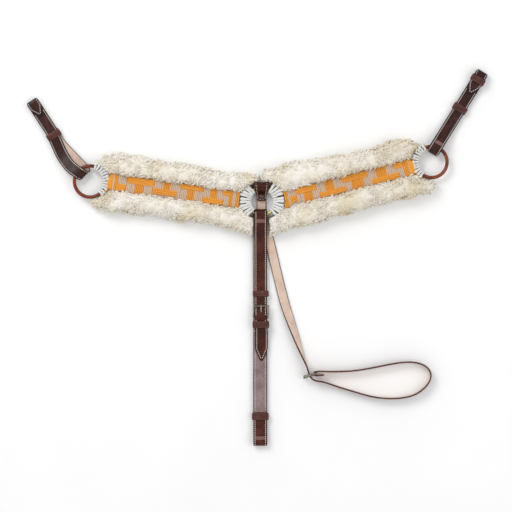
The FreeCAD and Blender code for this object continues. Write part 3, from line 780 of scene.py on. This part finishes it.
def fleece(tug):
    """Base of the sheepskin: two rolls with a groove, lumpy all over, closed round at both ends."""
    name, body = tug.name + "_fleece", tug.name + "_tug"
    stations = (tug.sa + tug.sb) / 2
    start, stop = stations[0], stations[-1]
    count = int((stop - start) / PAD_STEP)
    outlines = []
    for f in np.linspace(0, 1, count + 1):
        s = start + (stop - start) * f
        a, b, top = (np.interp(s, stations, v) for v in (tug.a, tug.b, tug.top))
        a = a + 1.6 * noise.noise(Vector((s / 22, 3, tug.along[1] * 9)))
        b = b + 1.6 * noise.noise(Vector((s / 22, 9, 1)))
        keys = pad_section(a, b, max(top, RIM_Z + 5))
        flat = np.column_stack([keys, np.zeros(len(keys))])
        line = spline(flat, 0.6)
        k = np.linspace(0, len(line) - 1, PAD_AROUND - 22)
        under = np.linspace(line[-1], line[0], 24)[1:-1]
        last = len(line) - 1
        line = np.array([line[int(i)] * (1 - i % 1) + line[min(int(i) + 1, last)] * (i % 1) for i in k])
        outlines.append(np.vstack([line, under])[:, :2])
    outlines = np.array(outlines)
    u, z = outlines[..., 0], outlines[..., 1]
    low, high = tug.ends(u)
    share = np.linspace(0, 1, count + 1)[:, None]
    s = low + (high - low) * share
    near = np.minimum(s - low, high - s)
    round_off = np.sqrt(np.clip(1 - (1 - np.clip(near / 9, 0.012, 1)) ** 2, 0, 1))
    groove = (np.abs(u) < 18.2) & (z > RIM_Z - 1) & (z < RIM_Z + 3)
    z = np.where(groove, np.where(near < 9, RIM_Z * round_off, z), 0.4 + (z - 0.4) * round_off)
    points = tug.place(s, u, z)
    d_s = np.gradient(points, axis=0)
    d_u = np.roll(points, -1, axis=1) - np.roll(points, 1, axis=1)
    normal = unit(np.cross(d_s, d_u))
    middle = tug.place(s, 0 * u, 0 * u + 12)
    flip = np.sum(normal * (points - middle), axis=-1).mean() < 0
    normal = -normal if flip else normal
    lift = np.array([[lumps(p) for p in line] for line in points])
    calm = np.clip((np.abs(u) - 16.9) / 7, 0, 1)
    calm = np.where(z > RIM_Z - 2, np.maximum(calm, np.clip((z - RIM_Z - 2) / 4, 0, 1)), 1.0)
    calm = np.where(near < 12, calm * np.clip(near / 12, 0.15, 1), calm)
    lift = np.where(lift < 0, lift, lift * np.clip((z - 1) / 5, 0, 1)) * calm
    points = points + normal * lift[..., None]
    points[..., 2] = np.maximum(points[..., 2], 0.3)
    verts = points.reshape(-1, 3)
    faces = tube_faces(count + 1, PAD_AROUND)
    if flip:
        faces = [f[::-1] for f in faces]
    pad = mesh_object(name, verts, faces, [WOOL], body, cad=(name,), slot="fleece")
    return points, normal, u, z, near


def lock(base, out, lean, length, wide, curl, steps=5, around=5):
    """One curled lock of wool as a tapering bent tube."""
    side = unit(np.cross(out, lean) + 1e-6)
    verts = []
    centre = np.array(base, float)
    heading = unit(out + lean * 0.35)
    for k in range(steps):
        f = k / (steps - 1)
        radius = wide * (0.55 + 0.9 * f - 1.15 * f * f) + 0.12
        up = unit(np.cross(side, heading))
        for j in range(around):
            a = 2 * math.pi * j / around
            verts.append(centre + (side * math.cos(a) + up * math.sin(a)) * radius)
        heading = unit(heading + (lean - out * 0.9) * curl * (0.35 + f) + side * curl * 0.5)
        centre = centre + heading * length / (steps - 1)
    return verts


LOCK_FACES = tube_faces(5, 5)
LOCKS = 3300


def locks(tug, points, normal, u, z, near):
    """Curly locks spread over the rolls, the sides and the ragged ends."""
    dp = np.linalg.norm(np.cross(np.roll(points, -1, 0) - points, np.roll(points, -1, 1) - points), axis=-1)
    weight = dp * (z > 2.5) * ~((np.abs(u) < 19.0) & (z < RIM_Z + 4) & (near > 5)) * (near > 1.0)
    weight[-1] = 0
    weight = weight * np.where(z < RIM_Z, 1.5, 1.0)
    flat = weight.ravel() / weight.sum()
    picks = RNG.choice(len(flat), LOCKS, p=flat, replace=False)
    pile = Pile()
    where, out = points.reshape(-1, 3), normal.reshape(-1, 3)
    for k in picks:
        p, n = where[k], out[k]
        swirl = noise.noise(Vector(p / 24)) * 4 + RNG.normal(0, 0.9)
        tangent = unit(np.cross(n, UP) + tug.along * 0.5 + 1e-3)
        other = np.cross(n, tangent)
        lean = unit(tangent * math.cos(swirl) + other * math.sin(swirl))
        size = RNG.uniform(0.7, 1.3) * (1.25 if z.ravel()[k] < 20 else 1.0)
        length, wide = 8.2 * size, 1.75 * size
        verts = np.array(lock(p - n * 1.2, n, lean, length, wide, RNG.uniform(0.25, 0.8)))
        verts[:, 2] = np.maximum(verts[:, 2], 0.35)
        if verts[:, 2].max() > WOOL_TOP or in_the_way(tug, verts):
            continue
        pile.add(verts, LOCK_FACES)
    return pile.build(tug.name + "_fleece_locks", [WOOL_TIP], tug.name + "_tug", slot="fleece")


def in_the_way(tug, verts):
    """True where a lock would lie over the band or reach a ring or the chest strap."""
    local = verts - tug.shift
    across = np.abs(local @ tug.side)
    over = (across.min() < 12.6) & (verts[:, 2].max() > RIM_Z - 1)
    clear = HUB_CLEAR - 3 if verts[:, 1].max() > HUG_Y else HUG_CLEAR
    hub = np.linalg.norm(verts[:, :2], axis=1).min() < clear
    ring = np.linalg.norm(verts[:, :2] - tug.ring[:2], axis=1).min() < RING_CLEAR - 2.5
    chest = (np.abs(verts[:, 0] - CHEST_X).min() < CHEST_CLEAR) & (verts[:, 1].min() < 0)
    return bool(over or hub or ring or chest)


for _tug in (LEFT_TUG, RIGHT_TUG):
    locks(_tug, *fleece(_tug))


# --- cords, bands and lacing ---
def tube(points, radius, around, lobes, turn, flat=1.0):
    """Points and faces of a cord along points; lobes and turn give it a laid twist."""
    points = np.asarray(points, float)
    tangent = unit(np.gradient(points, axis=0))
    side = unit(np.cross(tangent, UP) + tangent[:, [1, 0, 2]] * [1e-4, -1e-4, 0])
    for k in range(1, len(side)):
        if np.dot(side[k], side[k - 1]) < 0:
            side[k] = -side[k]
    up = np.cross(side, tangent)
    run = np.concatenate([[0], np.cumsum(np.linalg.norm(np.diff(points, axis=0), axis=1))])
    radius = np.broadcast_to(np.asarray(radius, float), (len(points),))
    angle = np.linspace(0, 2 * math.pi, around, endpoint=False)
    ring = radius[:, None] * (1 + 0.15 * np.cos(lobes * (angle[None, :] - run[:, None] * turn)))
    verts = points[:, None] + side[:, None] * (ring * np.cos(angle))[..., None] \
        + up[:, None] * (ring * np.sin(angle) * flat)[..., None]
    return verts.reshape(-1, 3), tube_faces(len(points), around)


ORANGE = thread("mohair_orange", srgb(240, 164, 52), srgb(196, 112, 26), 1100)
# dark brown for the strip under the band's ribs: painted shade between them
SHADE = thread("band_rib_gap_shade", srgb(120, 84, 52), srgb(84, 54, 34), 900)
BEIGE = thread("mohair_beige", srgb(222, 196, 172), srgb(172, 140, 116), 1100)

# orange blocks and floating bars of each band: run from, run to, edge from, edge to (1 is the upper edge)
LEFT_BLOCKS = [(301, 330, -1, 1), (289, 295.5, -0.9, 0.95), (273, 295.5, -0.88, -0.1), (218, 271, 0.15, 1),
               (238.5, 255.5, -1, 1), (170, 219, -0.72, -0.02), (184, 200, -0.4, 1), (119, 165.5, 0.35, 1),
               (137.5, 151.5, -1, 1), (77, 119, -0.95, -0.25), (91, 105, -0.3, 1), (58.5, 78.5, 0.25, 0.95),
               (58.5, 65, -1, 0.9), (40, 53, -1, 1)]
LEFT_BARS = [(273, 292, -0.88, -0.1), (218, 271, 0.15, 0.95), (170, 219, -0.72, -0.02),
             (119, 165.5, 0.4, 0.95), (77, 119, -0.92, -0.3), (62, 78.5, 0.3, 0.9)]
RIGHT_BLOCKS = [(36, 53, -1, 1), (56, 68, -0.6, 0.2), (70, 111, 0.2, 0.95), (84.5, 100, -1, 1),
                (115.5, 169, -0.9, -0.2), (129, 146.5, -0.4, 1), (163, 216.5, 0.15, 0.95),
                (183, 206.5, -1, 1), (223, 278.5, -0.95, -0.2), (233.5, 256, -0.4, 1), (271.5, 294, 0.2, 1),
                (289, 300.5, -1, 1), (305, 330, -1, 1)]
RIGHT_BARS = [(56, 68, -0.55, 0.15), (70, 111, 0.25, 0.92), (115.5, 169, -0.88, -0.25),
              (163, 216.5, 0.2, 0.92), (223, 278.5, -0.92, -0.25), (271.5, 290, 0.25, 0.92)]
RIB_PITCH, RIB_R, RIB_Z = 3.5, 1.72, 19.4
RIB_HUB_CLEAR, RIB_RING_CLEAR = 46.2, 42
FAN_COUNT, FAN_R = 9, 38.5


def band(tug, blocks, bars, far, fan_shift):
    """Woven band: cross ribs in two colours, long floats over them, and a fan of strands at the outer end."""
    name, body = tug.name + "_band", tug.name + "_tug"
    pile = Pile()
    start, stop = 40.0, 318.0
    count = int((stop - start) / RIB_PITCH)
    hub_s, hub_u = tug.across((0, 0, 0))
    ring_s, ring_u = tug.across(tug.ring)
    for k in range(count):
        s = start + k * RIB_PITCH
        wave = 0.5 * noise.noise(Vector((s / 11, 5, tug.along[1])))
        reach = BAND_HALF + wave + RNG.normal(0, 0.22)
        u = np.linspace(-reach, reach, 37)
        slant = 0.35 * noise.noise(Vector((s / 40, 2, 2)))
        ss = s + slant * u / 8 + RNG.normal(0, 0.08)
        keep = (ss - hub_s) ** 2 + (u - hub_u) ** 2 > RIB_HUB_CLEAR ** 2
        keep &= (ss - ring_s) ** 2 + (u - ring_u) ** 2 > RIB_RING_CLEAR ** 2
        idx = np.flatnonzero(keep)
        if len(idx) < 6:
            continue
        for group in np.split(idx, np.flatnonzero(np.diff(idx) > 1) + 1):
            if len(group) < 4:
                continue
            gu, gs = u[group], ss[group]
            beat = np.cos(gu * 2 * math.pi / 5.6 + math.pi * (k % 2))
            radius = RIB_R * (1 + 0.1 * beat)
            radius[0] = radius[-1] = RIB_R * 0.55
            z = RIB_Z + 0.5 * beat + 0.5 * (1 - (gu / BAND_HALF) ** 2)
            z[0] = z[-1] = RIB_Z - 0.7
            points = tug.place(gs, gu, z)
            verts, faces = tube(points, radius, 12, 3, 1.1)
            middle = far * (gu[:-1] + gu[1:]) / 2 / BAND_HALF
            orange = [any(s0 <= s <= s1 and v0 <= v <= v1 for s0, s1, v0, v1 in blocks) for v in middle]
            kinds = np.where(orange, 0, 1)
            pile.add(verts, faces, np.concatenate([np.repeat(kinds, 12), kinds[[0, -1]]]).tolist())
    for s0, s1, v0, v1 in bars:
        width = (v1 - v0) * BAND_HALF
        cords = max(2, int(round(width / 3.5)))
        for k in range(cords):
            v = (v0 + (k + 0.5) * (v1 - v0) / cords) * BAND_HALF * far
            n = max(8, int((s1 - s0) / 1.6))
            s = np.linspace(s0 + 0.4, s1 - 0.4, n)
            ease = np.clip(np.minimum(s - s0, s1 - s) / 3.0, 0, 1)
            wave = np.array([0.3 * noise.noise(Vector((x / 6, v, 4))) for x in s])
            z = RIB_Z - 0.2 + 2.3 * np.sqrt(ease) + 0.25 * np.cos(s * 0.9 + k * 2)
            verts, faces = tube(tug.place(s, v + wave, z), 1.8, 12, 3, 0.75)
            pile.add(verts, faces, 0)
    for k in range(FAN_COUNT):
        f = k / (FAN_COUNT - 1) * 2 - 1
        a = math.atan2(-f * 19.5 + fan_shift, -36)
        end_u = ring_u + math.sin(math.pi - a) * FAN_R
        end_s = ring_s - math.cos(math.pi - a) * FAN_R
        keys = [(300, f * 12.5, RIB_Z - 0.5), (304, f * 13, RIB_Z + 1.3),
                (309, f * 14.5 + (end_u - f * 16) * 0.25, 20.8),
                ((end_s + 309) / 2, f * 15.5 + (end_u - f * 15.5) * 0.6, 20.4), (end_s, end_u, 17.0)]
        line = spline([tug.place(s, u, z) for s, u, z in keys], 1.5)
        verts, faces = tube(line, 1.9, 10, 3, 0.7)
        pile.add(verts, faces, 0)
    # thin dark strip under the ribs, seen between them as painted shade
    edge = []
    for s in np.linspace(start, 304, 90):
        u = BAND_HALF - 0.8
        s_in = max(s, hub_s + math.sqrt(max(46.4 ** 2 - hub_u ** 2, 0)) - 1)
        edge.append([tug.place(s_in, x, z) for x, z in ((-u, 17.7), (u, 17.7), (u, 18.5), (-u, 18.5))])
    pile.add(np.array(edge).reshape(-1, 3), tube_faces(len(edge), 4), 2)
    piece = pile.build(name, [ORANGE, BEIGE, SHADE], None, slot="band")
    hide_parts(name)
    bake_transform(piece)


band(LEFT_TUG, LEFT_BLOCKS, LEFT_BARS, -1, 4.0)
band(RIGHT_TUG, RIGHT_BLOCKS, RIGHT_BARS, 1, 0.0)
WIRE, HUB_WIRE_R, SIDE_WIRE_R = 3.6, 28.0, 31.2


def lacing(name, centre, wire_r, start, stop, loops, outer, ring_body, tug):
    """Fat cord loops round the ring wire over a dark leather edge, scalloped at the outside."""
    pile = Pile()
    centre = np.array([*centre, 0.0])
    widen = 0.43 * math.radians(stop - start) * outer / loops - 2.15
    for k in range(loops):
        mid = start + (stop - start) * (k + 0.5) / loops + RNG.normal(0, 0.6)
        lean = RNG.uniform(-1.2, 1.2)
        reach = outer + RNG.normal(0, 0.5)

        def spot(r, z, slip=0.0):
            a = math.radians(mid) + slip / r
            return centre + np.array([math.cos(a) * r, math.sin(a) * r, z])

        clear = WIRE + 2.0
        keys = [spot(reach, 17.6, lean), spot(reach - 1.6, 20.0, lean), spot(reach - 5, 21.0, lean),
                spot(wire_r + 3.4, 20.2, lean * 0.5)]
        for step in range(9):
            a = math.radians(74 + 218 * step / 8)
            keys.append(spot(wire_r + math.cos(a) * clear, RING_Z + math.sin(a) * clear))
        keys += [spot(wire_r + 5.0, 8.4, -lean * 0.5), spot(reach - 4, 8.6, -lean),
                 spot(reach - 0.6, 10.4, -lean), spot(reach + 0.3, 14.0, 0)]
        line = spline(np.array(keys), 1.3)
        far = np.linalg.norm((line - centre)[:, :2], axis=1)
        radius = 2.15 + widen * np.clip((far - wire_r) / (outer - wire_r), 0, 1)
        radius[:2] *= [0.45, 0.85]
        radius[-2:] *= [0.85, 0.45]
        verts, faces = tube(line, radius, 16, 4, 0.55, 0.8)
        pile.add(verts, faces)
    rows = []
    for a in np.radians(np.linspace(start + 2.5, stop - 2.5, 70)):
        out = np.array([math.cos(a), math.sin(a), 0.0])
        rows.append([centre + out * r + UP * z for r, z in ((wire_r + 4.2, 12.6), (outer - 0.8, 12.6),
                                                          (outer - 0.8, 17.4), (wire_r + 4.2, 17.4))])
    pile.add(np.array(rows).reshape(-1, 3), tube_faces(len(rows), 4), 1)
    piece = pile.build(name, [CORD, EDGE], None, slot="cord")
    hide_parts(name)
    axis = tug.along if ring_body == "hub" else -tug.along
    far = row(centre + axis * (outer + 3) + UP * RING_Z)
    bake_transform(piece)


lacing("left_inner_lacing", (0, 0), HUB_WIRE_R, 128, 229, 10, 44.0, "hub", LEFT_TUG)
lacing("right_inner_lacing", (0, 0), HUB_WIRE_R, -49, 57, 10, 44.0, "hub", RIGHT_TUG)
lacing("left_outer_lacing", LEFT_RING, SIDE_WIRE_R, -52, 75, 12, 38.6, "left_ring", LEFT_TUG)
lacing("right_outer_lacing", RIGHT_RING, SIDE_WIRE_R, 113, 236, 12, 38.6, "right_ring", RIGHT_TUG)


# --- small pieces ---
ears = Strap([[x, 29, 19.1 - 0.02 * abs(x + 1), 10, 0, 1, 0] for x in (-20, -12, -1, 9, 17.5)], 2.0, 1.2, 0)
ears.taper(7, 1.6).taper(7, 1.6, True)
ears.mesh("tab_ears", [EDGE, EDGE, EDGE], "long")


# --- stage ---
def paint(node, mat):
    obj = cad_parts[node]
    obj.data.materials.clear()
    obj.data.materials.append(mat)
    obj.data.polygons.foreach_set("use_smooth", np.full(len(obj.data.polygons), True))


for _node in ("chest_buckle_frame", "chest_buckle_tongue", "long_buckle_frame", "long_buckle_tongue"):
    paint(_node, NICKEL)
paint("tab_snap", SNAP)
paint("centre_ring", BRASS)
paint("left_side_ring", RUST)
paint("right_side_ring", RUST)
paint("chest_chape", EDGE)


def floor():
    m = Nodes("paper_floor", 0.95, srgb(250, 250, 250))
    m.color(m.ramp(m.noise(3), [(0.3, srgb(248, 248, 248)), (0.7, srgb(252, 252, 252))]))
    verts = [(-9000, -9000, 0), (9000, -9000, 0), (9000, 9000, 0), (-9000, 9000, 0)]
    obj = mesh_object("floor", verts, [(0, 1, 2, 3)], [m.mat], None)
    obj.location.z = -ORIGIN[2] - 0.0005


def lamp(name, at, aim, size, power):
    data = bpy.data.lights.new(name, "AREA")
    data.shape = "DISK"
    data.size = size
    data.energy = power
    obj = bpy.data.objects.new(name, data)
    bpy.context.scene.collection.objects.link(obj)
    obj.location = at
    obj.rotation_euler = (Vector(aim) - Vector(at)).to_track_quat("-Z", "Y").to_euler()


def studio():
    world = bpy.data.worlds.new("studio")
    bpy.context.scene.world = world
    world.use_nodes = True
    world.node_tree.nodes["Background"].inputs["Color"].default_value = (1, 1, 1, 1)
    world.node_tree.nodes["Background"].inputs["Strength"].default_value = 0.72
    lamp("key", (-1.6, 1.9, 2.6), (0, 0, 0), 1.8, 46)
    lamp("fill", (2.2, -0.6, 2.8), (0, 0, 0), 2.4, 20)
    bpy.context.scene.view_settings.view_transform = "Standard"


def camera():
    data = bpy.data.cameras.new("camera")
    sensor, distance, span = 36, 6.0, 1.024
    data.sensor_width = sensor
    data.lens = sensor * distance / span
    data.clip_end = 50
    obj = bpy.data.objects.new("camera", data)
    bpy.context.scene.collection.objects.link(obj)
    obj.location = Vector(row((-12, -110, 15))) + Vector((0, 0, distance))
    bpy.context.scene.camera = obj


floor()
studio()
camera()
